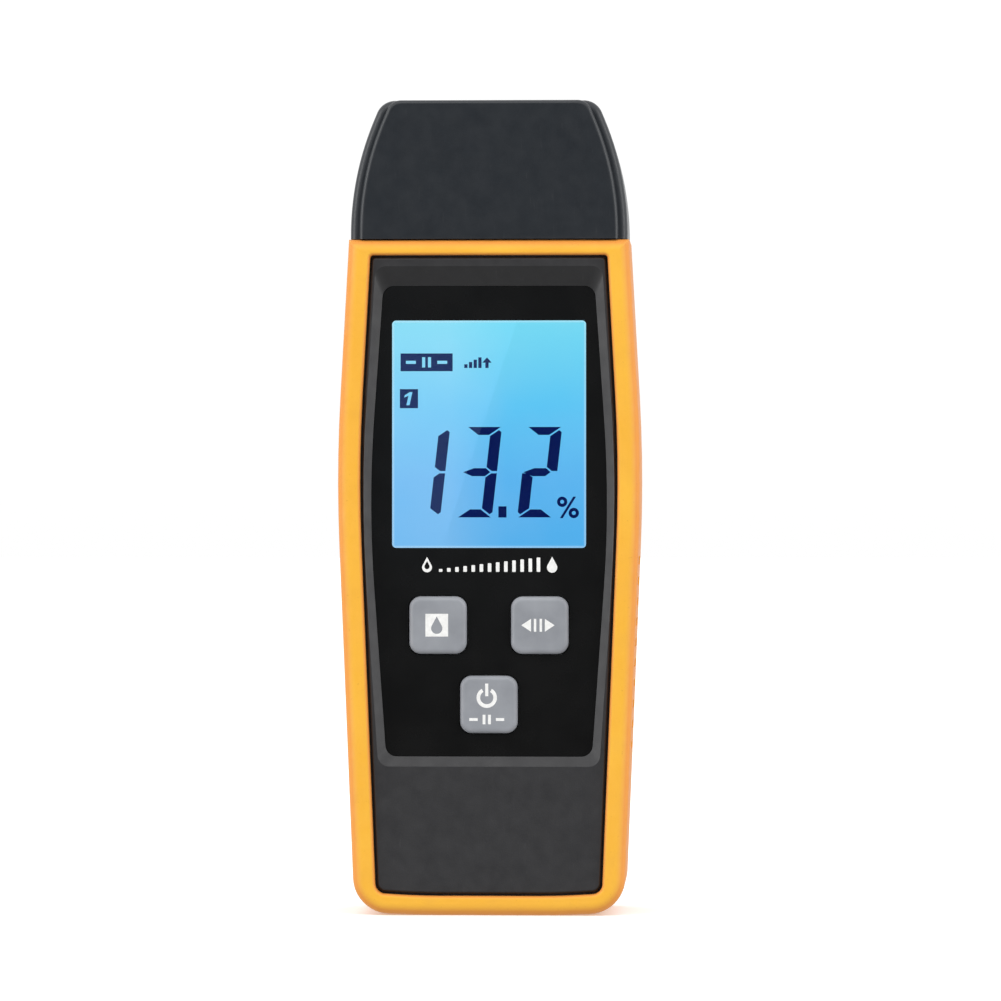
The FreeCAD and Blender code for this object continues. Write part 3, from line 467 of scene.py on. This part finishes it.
def droplet(x, z, radius):
    """A water drop: a circle drawn out to a point above it, its middle at (x, z)."""
    reach = 2.1 * radius
    low = z - (reach - radius) / 2
    side = math.degrees(math.acos(radius / reach))
    return [(x, low + reach)] + arc(x, low, radius, 90 + side, 450 - side)


def ring(x, z, outer, wide, start=0.0, end=360.0):
    """A band round a circle: closed, as two outlines, or open, as one."""
    if end - start >= 360:
        return [arc(x, z, outer, 0, 360, 48)[:-1], arc(x, z, outer - wide, 0, 360, 48)[:-1]]
    return [arc(x, z, outer, start, end, 40) + arc(x, z, outer - wide, end, start, 40)]


def leaning(outline, base, lean):
    """The outline with everything above base pushed to +X, as slanted figures are."""
    return [(x + (z - base) * lean, z) for x, z in outline]


def placed(outlines, x, z):
    """Outlines in millimetres turned into metres, about the point (x, z) in metres."""
    return [[(x + across * MM, z + up * MM) for across, up in outline] for outline in outlines]


def flat_art(name, outlines, depth, finish, body, rear=False):
    """Artwork laid on the surface y = depth, from closed outlines of (x, z) in metres.
    An outline inside another one is a hole.  On the rear it is turned to read from behind."""
    curve = bpy.data.curves.new(name, "CURVE")
    curve.dimensions = "2D"
    curve.fill_mode = "BOTH"
    curve.extrude = INK_THICK / 2
    for outline in outlines:
        line = curve.splines.new("POLY")
        line.points.add(len(outline) - 1)
        for point, (x, z) in zip(line.points, outline):
            point.co = (x, z, 0, 1)
        line.use_cyclic_u = True
    drawn = bpy.data.objects.new(name + "_drawn", curve)
    bpy.context.scene.collection.objects.link(drawn)
    bpy.context.view_layer.update()
    seen = drawn.evaluated_get(bpy.context.evaluated_depsgraph_get())
    mesh = bpy.data.meshes.new_from_object(seen)
    bpy.data.objects.remove(drawn)
    side = 1 if rear else -1
    stand = Matrix.Rotation(math.pi / 2, 4, "X")
    if rear:
        stand = Matrix.Rotation(math.pi, 4, "Z") @ stand
    mesh.transform(Matrix.Translation((0, depth + side * INK_THICK / 2, 0)) @ stand)
    mesh.materials.clear()
    mesh.materials.append(finish)
    made = bpy.data.objects.new(name, mesh)
    bpy.context.scene.collection.objects.link(made)
    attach(made, body)


# ================================================================ the display's reading
FIGURE_HIGH = 15.75
FIGURE_WIDE = 6.1
FIGURE_FOOT = -14.49
FIGURE_LEAN = math.tan(math.radians(6.4))
FLAT_BAR = 1.39
UPRIGHT_BAR = 1.92
BAR_GAP = 0.2
BARS_OF = {"1": "bc", "2": "abged", "3": "abgcd"}
UPSIDE_DOWN = {"d": "a", "c": "b", "e": "f"}


def segment(letter):
    """One bar of a seven-bar figure, upright, with its foot at z = 0 and its left side at x = 0."""
    wide, high, mid = FIGURE_WIDE, FIGURE_HIGH, FIGURE_HIGH / 2
    flat, up, gap = FLAT_BAR, UPRIGHT_BAR, BAR_GAP
    if letter in UPSIDE_DOWN:
        return [(x, high - z) for x, z in segment(UPSIDE_DOWN[letter])]
    if letter == "f":
        return [(wide - x, z) for x, z in segment("b")]
    if letter == "a":
        return [(gap, high), (wide - gap, high), (wide - up - gap, high - flat),
                (up + gap, high - flat)]
    if letter == "b":
        return [(wide - up / 4, high - flat / 4 - gap), (wide, high - flat / 2 - gap),
                (wide, mid + gap), (wide - up / 2, mid + gap),
                (wide - up, mid + flat / 2 + gap), (wide - up, high - flat - gap)]
    return [(gap, mid), (up + gap / 2, mid + flat / 2), (wide - up - gap / 2, mid + flat / 2),
            (wide - up / 2 - gap, mid), (wide - up - gap / 2, mid - flat / 2),
            (up - gap / 2, mid - flat / 2)]


def figure(digit, right_top):
    """A whole figure whose upper right corner is at that x."""
    left = right_top - FIGURE_WIDE - FIGURE_HIGH * FIGURE_LEAN
    bars = [leaning(segment(letter), 0, FIGURE_LEAN) for letter in BARS_OF[digit]]
    return [[(left + x, FIGURE_FOOT + z) for x, z in bar] for bar in bars]


def percent_sign(x, z, high):
    """Two small rings and a slanted bar."""
    radius = high * 0.24
    band = radius * 0.62
    across = high * 0.27
    up = high * 0.26
    bar = leaning(box_outline(x, z, wide=0.5, high=high), z, lean=0.62)
    return ring(x - across, z + up, radius, band) + ring(x + across, z - up, radius, band) + [bar]


def pause_mark(x, z, wide, high):
    """Two uprights between two dashes: the reading is held."""
    stroke = high * 0.3
    dash = wide * 0.24
    outwards = (-1, 1)
    uprights = [box_outline(x + side * stroke * 0.95, z, stroke, high) for side in outwards]
    dashes = [box_outline(x + side * (wide - dash) / 2, z, dash, stroke) for side in outwards]
    return uprights + dashes


def peak_mark(x, z, wide, high):
    """Bars that climb to an arrow: the highest reading."""
    bars = 4
    pitch = wide / (bars + 2)
    bar_wide = pitch * 0.7
    shortest = 0.35
    foot = z - high / 2
    shapes = []
    for step in range(bars):
        tall = high * (shortest + (1 - shortest) * step / (bars - 1))
        middle = x - wide / 2 + (step + 0.5) * pitch
        shapes.append(box_outline(middle, foot + tall / 2, bar_wide, tall))
    tip = x + wide / 2 - pitch
    head = [(tip - pitch, z), (tip + pitch, z), (tip, z + high / 2)]
    shaft = box_outline(tip, z - high / 4, bar_wide, high / 2)
    return shapes + [head, shaft]


def leaning_one(x, z, high):
    """A small slanted figure one."""
    stroke = high * 0.24
    flag = x - stroke * 1.7
    shape = [(x - stroke / 2, z - high / 2), (x + stroke / 2, z - high / 2),
             (x + stroke / 2, z + high / 2), (x - stroke / 3, z + high / 2),
             (flag, z + high * 0.26), (flag, z + high * 0.08),
             (x - stroke / 2, z + high * 0.22)]
    return leaning(shape, z, lean=0.22)


def make_reading():
    """The lit display's figures and marks, as thin bars just in front of the glass.
    The pause mark and the small figure one are cut out of their boxes."""
    low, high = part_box("display_window")
    middle = (low + high) / 2
    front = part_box("lcd_glass")[0].y - 0.008 * MM
    hold_x, hold_z = -10.9, 12.53
    group_z = 6.2
    hold_box = box_outline(hold_x, hold_z, wide=9.1, high=3.1)
    group_box = box_outline(x=-13.98, z=group_z, wide=3.17, high=3.33)
    art = {
        "reading_tens": figure("1", right_top=-6.76),
        "reading_units": figure("3", right_top=2.26),
        "reading_point": [box_outline(x=2.33, z=-13.54, wide=1.42, high=1.95)],
        "reading_tenths": figure("2", right_top=12.76),
        "reading_percent": percent_sign(x=13.75, z=-12.75, high=3.75),
        "mark_hold": [hold_box] + pause_mark(hold_x, hold_z, wide=7.2, high=1.8),
        "mark_peak": peak_mark(x=-2.0, z=12.46, wide=4.9, high=1.85),
        "mark_group": [group_box, leaning_one(x=-13.9, z=group_z, high=2.3)],
    }
    ink = segment_ink()
    for name, outlines in art.items():
        flat_art(name, placed(outlines, middle.x, middle.z), front, ink, "case")


# ================================================================ printed marks
def title_art():
    """What the meter reads, as a picture: a dry drop, a climbing scale, and a full drop."""
    drop_out = 10.9
    bars = 13
    pitch = 1.42
    shortest = 0.5
    climb = 2.0
    foot = -1.25
    dry_drop = [droplet(-drop_out, 0, radius=0.86), droplet(-drop_out, -0.08, radius=0.46)]
    full_drop = droplet(drop_out, 0, radius=0.9)
    scale = []
    for step in range(bars):
        tall = shortest + climb * step / (bars - 1)
        across = (step - (bars - 1) / 2) * pitch
        scale.append(box_outline(across, foot + tall / 2, 0.62, tall, corner=0.12))
    return dry_drop + scale + [full_drop]


def mode_art():
    """A white tile with a drop cut out of it."""
    x = -0.2
    return [box_outline(x, 0, wide=3.96, high=3.96), droplet(x, 0, radius=0.98)]


def set_art():
    """Arrows to either side of two bars: step the setting down or up."""
    middle = -0.3
    high = 2.25
    tip, base = 2.9, 1.2
    shapes = [[(side * tip, 0), (side * base, high / 2), (side * base, -high / 2)]
              for side in (-1, 1)]
    shapes += [box_outline(side * 0.5, 0, 0.42, high) for side in (-1, 1)]
    return [[(x + middle, z) for x, z in shape] for shape in shapes]


def power_art():
    """The on and off symbol over a pause mark."""
    x = -0.35
    gap = 30
    circle = ring(x, 1.2, outer=1.78, wide=0.64, start=90 + gap, end=450 - gap)
    bar = box_outline(x, 2.55, wide=0.54, high=2.2)
    return circle + [bar] + pause_mark(x, -2.6, wide=6.1, high=1.66)


def make_prints():
    """White marks on the display panel and on the three keys."""
    ink = white_ink()
    panel_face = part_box("overlay_panel")[0].y
    title_x = 0.1 * MM
    title_z = (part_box("display_window")[0].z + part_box("key_mode")[1].z) / 2 + 0.85 * MM
    flat_art("print_title", placed(title_art(), title_x, title_z), panel_face - PRINT_LIFT,
             ink, "case")
    for key, art in (("key_mode", mode_art()), ("key_set", set_art()), ("key_power", power_art())):
        low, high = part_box(key)
        middle = (low + high) / 2
        flat_art("print_" + key, placed(art, middle.x, middle.z), low.y - PRINT_LIFT,
                 ink, key)


def make_plate_print():
    """Ruled lines, a drop and a ring of strokes on the rating plate, in place of any wording."""
    low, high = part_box("rating_plate")
    middle = (low + high) / 2
    wide = (high.x - low.x) / MM
    tall = (high.z - low.z) / MM
    margin = 1.0
    inside = margin + 0.3
    border = [box_outline(0, 0, wide - 2 * margin, tall - 2 * margin, corner=0.8),
              box_outline(0, 0, wide - 2 * inside, tall - 2 * inside, corner=0.6)]
    top_row = tall / 2 - 4.0
    pitch = 2.4
    rows = [box_outline(4.2, top_row - pitch * row, 14.5 - 2.5 * (row % 3), 0.7, corner=0.2)
            for row in range(6)]
    mark_x = -9.3
    ring_z = -4.0
    marks = [droplet(mark_x, 4.6, radius=1.7)] + ring(mark_x, ring_z, outer=2.3, wide=0.35)
    strokes = [box_outline(mark_x + across, ring_z, 0.35, 2.2) for across in (-0.8, 0, 0.8)]
    flat_art("print_plate", placed(border + rows + marks + strokes, middle.x, middle.z),
             high.y + PRINT_LIFT, dark_ink(), "case", rear=True)


# ================================================================ finishes onto the CAD nodes
def paint_nodes():
    """One finish for every CAD node."""
    finishes = {
        boot_rubber(): ["rubber_boot"],
        case_plastic(): ["front_shell", "rear_shell", "battery_door", "head_block"],
        cap_plastic(): ["pin_cap"],
        panel_gloss(): ["overlay_panel"],
        window_clear(): ["display_window"],
        lit_liquid_crystal(): ["lcd_glass"],
        small_part("backlight", screen(226, 236, 244), screen(240, 246, 250),
                   rough_low=0.3, rough_high=0.4): ["lcd_backlight"],
        small_part("frame_plastic", screen(216, 216, 210), screen(230, 230, 226)): ["lcd_frame"],
        small_part("connector_rubber", screen(196, 120, 130), screen(214, 140, 150)):
            ["lcd_connector"],
        key_grey(): ["key_mode", "key_set", "key_power"],
        small_part("switch_plastic", screen(28, 28, 30), screen(40, 40, 42)): ["tact_switches"],
        board_green(): ["main_board"],
        small_part("chip_black", screen(24, 24, 26), screen(34, 34, 36)):
            ["control_chips", "buzzer"],
        small_part("capacitor_can", screen(40, 54, 96), screen(52, 66, 110),
                   rough_low=0.3, rough_high=0.45): ["capacitors"],
        screw_steel(): ["case_screws", "board_screws"],
        electrode_steel(): ["electrode_left", "electrode_right"],
        nut_brass(): ["electrode_nuts", "electrode_tabs"],
        cell_jacket(): ["battery_cells"],
        spring_steel(): ["battery_springs", "contact_lower", "contact_upper"],
        plate_foil(): ["rating_plate"],
    }
    painted = set()
    for finish, names in finishes.items():
        for name in names:
            for given in nodes[name].material_slots:
                given.material = finish
            painted.add(name)
    missing = sorted(set(nodes) - painted)
    if missing:
        raise RuntimeError(f"no finish for {missing}")


# ================================================================ studio
LENS = 200.0
SENSOR = 36.0
FRAME_WIDE = 174.1 * MM
VIEW_TURN = math.radians(2.3)
LOOK_AT = Vector((2.05 * MM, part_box("pin_cap")[0].y, 72.2 * MM))
CAMERA_AWAY = FRAME_WIDE * LENS / SENSOR
FLOOR_HALF = 6.0
LIGHTS = {
    "light_left": {"at": (-1.0, -0.5, 0.3), "wide": 0.45, "high": 1.1, "radiance": 2.8},
    "light_right": {"at": (1.0, -0.5, 0.3), "wide": 0.45, "high": 1.1, "radiance": 2.4},
    "light_above": {"at": (-0.2, -0.75, 1.0), "wide": 0.8, "high": 0.5, "radiance": 1.1},
}


def make_camera():
    """Straight on at mid height, from very slightly to the right, through a long lens."""
    data = bpy.data.cameras.new("camera")
    data.lens = LENS
    data.sensor_width = SENSOR
    data.clip_start = 0.01
    data.clip_end = 20
    camera = bpy.data.objects.new("camera", data)
    back = Vector((math.sin(VIEW_TURN), -math.cos(VIEW_TURN), 0))
    camera.location = LOOK_AT + back * CAMERA_AWAY
    camera.rotation_euler = (-back).to_track_quat("-Z", "Y").to_euler()
    bpy.context.scene.collection.objects.link(camera)
    bpy.context.scene.camera = camera
    return camera


def plain_stage(name, corners, finish, unseen_by):
    """One flat face of the studio, which the named kinds of ray pass through."""
    mesh = bpy.data.meshes.new(name)
    mesh.from_pydata(corners, [], [tuple(range(len(corners)))])
    mesh.materials.append(finish)
    made = bpy.data.objects.new(name, mesh)
    bpy.context.scene.collection.objects.link(made)
    for ray in unseen_by:
        setattr(made, "visible_" + ray, False)


def make_floor():
    """A pale floor that takes a soft shadow and throws no light back up."""
    made, tree, shader = new_surface("studio_floor", Roughness=0.9, Specular_IOR_Level=0.0,
                                     Emission_Strength=0.2)
    colour = mix(tree, patches(tree, 0.4, 2.0), screen(246, 246, 246), screen(250, 250, 250))
    finish_with(tree, shader, Base_Color=colour, Emission_Color=colour)
    corners = [(-FLOOR_HALF, -FLOOR_HALF, 0), (FLOOR_HALF, -FLOOR_HALF, 0),
               (FLOOR_HALF, FLOOR_HALF, 0), (-FLOOR_HALF, FLOOR_HALF, 0)]
    plain_stage("studio_floor", corners, made, ("diffuse", "glossy", "transmission", "shadow"))


def make_window_glint(camera):
    """A bright card that the display window mirrors to the camera, with a slanted edge.
    It covers the window from its left side to that edge, as the camera sees it."""
    made, tree, shader = new_surface("studio_glint", Base_Color=BLACK, Roughness=1.0,
                                     Specular_IOR_Level=0.0, Emission_Strength=1.0)
    colour = mix(tree, patches(tree, 0.2, 2.0), screen(178, 220, 255), screen(188, 228, 255))
    finish_with(tree, shader, Emission_Color=colour)
    low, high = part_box("display_window")
    middle_x = (low.x + high.x) / 2
    inside = 0.15 * MM
    left, foot, top = low.x + inside, low.z + inside, high.z - inside
    edge_at_foot = middle_x - 8.15 * MM
    edge_at_top = middle_x + 4.9 * MM
    seen = [(left, foot), (edge_at_foot, foot), (edge_at_top, top), (left, top)]
    card_y = -1.3
    eye = camera.location
    further = (low.y - card_y) / (low.y - eye.y)
    corners = [(x + (x - eye.x) * further, card_y, z + (z - eye.z) * further) for x, z in seen]
    plain_stage("studio_glint", corners, made, ("camera", "diffuse", "transmission", "shadow"))


def make_light(name, aim, at, wide, high, radiance):
    """A soft box of that size and brightness, pointing at aim."""
    data = bpy.data.lights.new(name, "AREA")
    data.shape = "RECTANGLE"
    data.size = wide
    data.size_y = high
    data.energy = radiance * math.pi * wide * high
    made = bpy.data.objects.new(name, data)
    made.location = at
    made.rotation_euler = (Vector(aim) - Vector(at)).to_track_quat("-Z", "Y").to_euler()
    made.visible_camera = False
    bpy.context.scene.collection.objects.link(made)


def make_surround():
    """A white tent: dimmer underneath, dark at the opening in front, plain white to look at."""
    world = bpy.data.worlds.new("studio")
    world.use_nodes = True
    tree = world.node_tree
    direction = add(tree, "TexCoord").outputs["Generated"]
    parts = add(tree, "SeparateXYZ", {0: direction})
    upward = level(tree, parts.outputs["Z"], -0.6, 0.4, to_low=0.68, to_high=1.22)
    opening = level(tree, parts.outputs["Y"], -0.95, -0.8, to_low=0.03, to_high=1.0)
    strength = maths(tree, "MULTIPLY", upward, opening)
    looked_at = add(tree, "LightPath").outputs["Is Camera Ray"]
    shown = maths(tree, "MAXIMUM", strength, looked_at)
    background = tree.nodes["Background"]
    background.inputs["Color"].default_value = WHITE
    tree.links.new(shown, background.inputs["Strength"])
    bpy.context.scene.world = world


def make_lights():
    """The three soft boxes, all aimed at the middle of the meter."""
    aim = (0, 0, (cad_low.z + cad_high.z) / 2)
    for name, given in LIGHTS.items():
        make_light(name, aim, **given)


paint_nodes()
make_reading()
make_prints()
make_plate_print()
main_camera = make_camera()
make_floor()
make_window_glint(main_camera)
make_surround()
make_lights()
bpy.context.scene.view_settings.view_transform = "Standard"
